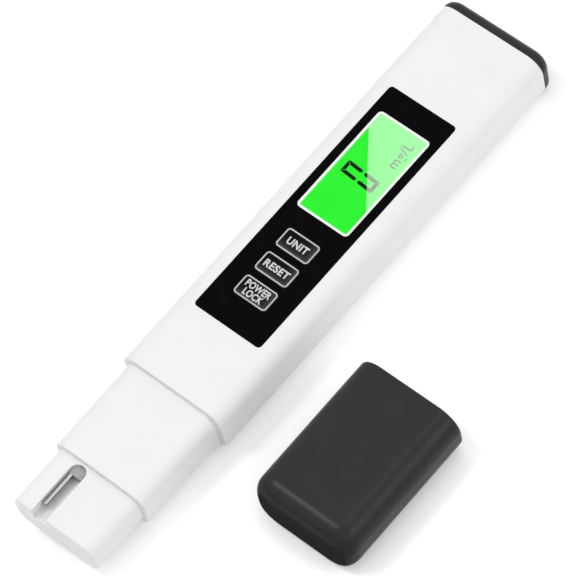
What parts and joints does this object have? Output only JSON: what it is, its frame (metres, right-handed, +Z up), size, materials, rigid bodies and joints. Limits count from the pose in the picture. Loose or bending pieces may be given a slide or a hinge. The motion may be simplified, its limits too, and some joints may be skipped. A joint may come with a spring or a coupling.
{
  "type": "digital water tester",
  "caption": "Hand-held digital water tester with a lit display, three keys, a slotted electrode tip, a slide-out battery drawer and a loose protective cap.",
  "frame": {"origin": "middle of the housing's flat underside, on the surface that the tester lies on", "axes": "+X along the tester towards the battery end, +Z up through the display, +Y to the left of the display when the battery end is up"},
  "size_m": [0.1568, 0.0718, 0.0143],
  "materials": {
    "white_shell": "satin moulded ABS, white",
    "panel_black": "glossy printed polycarbonate sheet, black",
    "border_white": "white print under a glossy sheet",
    "lens_clear": "clear glossy pane",
    "polariser_green": "lit green display film",
    "display_glass": "thin display glass",
    "diffuser_milky": "milky light guide",
    "reflector_white": "white reflector film",
    "led_yellow": "small surface-mounted lamp",
    "frame_cream": "natural moulded ABS",
    "contact_rubber": "layered conductive rubber",
    "board_green": "green solder mask over fibreglass",
    "chip_black": "moulded black resin",
    "can_steel": "drawn sheet steel",
    "component_tan": "ceramic and resin parts",
    "screw_steel": "zinc plated steel",
    "spring_steel": "nickel plated spring steel",
    "key_black": "black key with a printed silver line",
    "plunger_grey": "grey acetal",
    "electrode_metal": "polished titanium alloy",
    "sensor_epoxy": "black epoxy",
    "lead_red": "red insulated wire",
    "lead_blue": "blue insulated wire",
    "seal_rubber": "black nitrile rubber",
    "end_black": "satin moulded ABS, charcoal",
    "cell_steel": "plated steel cell can",
    "cap_black": "satin moulded ABS, charcoal"
  },
  "bodies": {
    "tester": {"housing": "white_shell", "probe_head": "white_shell", "front_panel": "panel_black", "window_border": "border_white", "window_lens": "lens_clear", "front_polariser": "polariser_green", "rear_polariser": "polariser_green", "lcd_front_glass": "display_glass", "lcd_rear_glass": "display_glass", "backlight_diffuser": "diffuser_milky", "reflector_sheet": "reflector_white", "backlight_leds": "led_yellow", "display_holder": "frame_cream", "chassis": "frame_cream", "contact_strip": "contact_rubber", "circuit_board": "board_green", "controller_chip": "chip_black", "switch_bases": "chip_black", "clock_crystal": "can_steel", "switch_covers": "can_steel", "board_components": "component_tan", "board_screws": "screw_steel", "switch_domes": "spring_steel", "battery_contact_positive": "spring_steel", "battery_contact_negative": "spring_steel", "electrode_pins": "electrode_metal", "temperature_sensor": "sensor_epoxy", "potting_plug": "sensor_epoxy", "electrode_leads": "lead_red", "sensor_leads": "lead_blue", "probe_seal": "seal_rubber"},
    "mode_button": {"mode_key": "key_black", "mode_plunger": "plunger_grey"},
    "clear_button": {"clear_key": "key_black", "clear_plunger": "plunger_grey"},
    "power_button": {"power_key": "key_black", "power_plunger": "plunger_grey"},
    "battery_drawer": {"battery_cap": "end_black", "battery_cap_seal": "seal_rubber", "battery_tray": "end_black", "button_cells": "cell_steel", "cell_link": "spring_steel"},
    "cap": {"protective_cap": "cap_black"}
  },
  "joints": [
    {"name": "mode_press", "type": "slide", "parent": "tester", "child": "mode_button", "axis": [0, 0, -1], "range_m": [0, 0.0003], "stiffness_N_per_m": 900},
    {"name": "clear_press", "type": "slide", "parent": "tester", "child": "clear_button", "axis": [0, 0, -1], "range_m": [0, 0.0003], "stiffness_N_per_m": 900},
    {"name": "power_press", "type": "slide", "parent": "tester", "child": "power_button", "axis": [0, 0, -1], "range_m": [0, 0.0003], "stiffness_N_per_m": 900},
    {"name": "battery_drawer_slide", "type": "slide", "parent": "tester", "child": "battery_drawer", "axis": [1, 0, 0], "range_m": [0, 0.03]},
    {"name": "cap_pull", "type": "slide", "parent": "tester", "child": "cap", "axis": [-1, 0, 0], "range_m": [0, 0.042]}
  ]
}
